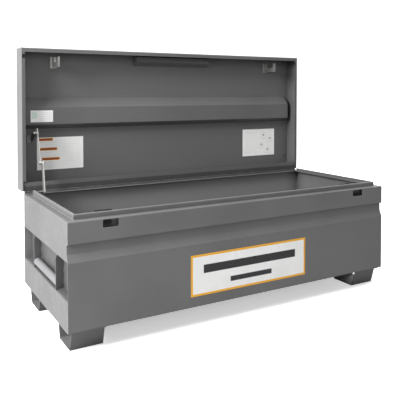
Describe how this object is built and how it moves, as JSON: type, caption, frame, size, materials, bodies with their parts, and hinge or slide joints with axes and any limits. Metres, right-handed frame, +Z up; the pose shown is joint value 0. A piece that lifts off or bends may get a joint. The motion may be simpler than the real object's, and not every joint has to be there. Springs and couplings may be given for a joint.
{
  "type": "jobsite tool chest",
  "caption": "Long low steel tool chest on fixed channel feet, with recessed end handles, padlock pockets and a hinged lid held up by a folding stay.",
  "frame": {"origin": "on the ground under the middle of the whole chest as stored, lid open", "axes": "+X along the chest to its right-hand end seen from the front, +Y from the front to the hinged back, +Z up"},
  "size_m": [1.829, 0.859, 1.3195],
  "materials": {
    "powder_coat": "fine-textured mid-grey powder coat on sheet steel",
    "zinc_plate": "bright zinc-plated steel",
    "front_plate_white": "white printed metal plate with an orange border",
    "label_vinyl": "white printed vinyl"
  },
  "bodies": {
    "chest": {"front_panel": "powder_coat", "back_panel": "powder_coat", "floor_panel": "powder_coat", "front_plate": "front_plate_white", "hinge_leaf_body": "powder_coat", "hinge_pin": "zinc_plate", "stay_mount": "zinc_plate", "end_panel_left": "powder_coat", "foot_front_left": "powder_coat", "foot_rear_left": "powder_coat", "handle_gusset_front_left": "powder_coat", "handle_gusset_rear_left": "powder_coat", "handle_grip_left": "powder_coat", "lock_pocket_left": "powder_coat", "end_panel_right": "powder_coat", "foot_front_right": "powder_coat", "foot_rear_right": "powder_coat", "handle_gusset_front_right": "powder_coat", "handle_gusset_rear_right": "powder_coat", "handle_grip_right": "powder_coat", "lock_pocket_right": "powder_coat"},
    "lid": {"lid_top": "powder_coat", "lid_front": "powder_coat", "lid_front_hem": "powder_coat", "lid_rear": "powder_coat", "lid_hinge_rail": "powder_coat", "lid_stiffener": "powder_coat", "lid_front_channel": "powder_coat", "hinge_leaf_lid": "powder_coat", "stay_lid_bracket": "zinc_plate", "stay_lid_pin": "zinc_plate", "label_left": "label_vinyl", "label_right": "label_vinyl", "label_small": "label_vinyl", "lid_end_left": "powder_coat", "lid_end_right": "powder_coat", "lock_staple_left": "zinc_plate", "lock_staple_right": "zinc_plate"},
    "stay_lower": {"stay_lower_link": "zinc_plate", "stay_knee_rivet": "zinc_plate"},
    "stay_upper": {"stay_upper_link": "zinc_plate", "stay_knee_boss": "zinc_plate"}
  },
  "joints": [
    {"name": "lid_hinge", "type": "hinge", "parent": "chest", "child": "lid", "pos_m": [0, 0.329, 0.564], "axis": [1, 0, 0], "range_deg": [0, 90]},
    {"name": "stay_lower_pivot", "type": "hinge", "parent": "chest", "child": "stay_lower", "pos_m": [-0.8185, 0.2555, 0.572], "axis": [1, 0, 0], "range_deg": [0, 142.68]},
    {"name": "stay_upper_pivot", "type": "hinge", "parent": "lid", "child": "stay_upper", "pos_m": [-0.8305, 0.339, 0.872], "axis": [1, 0, 0], "range_deg": [-18.82, 0]}
  ],
  "couplings": [
    {"joint": "stay_lower_pivot", "follows": "lid_hinge", "ratio": 1.5851},
    {"joint": "stay_upper_pivot", "follows": "lid_hinge", "ratio": -0.20885}
  ]
}
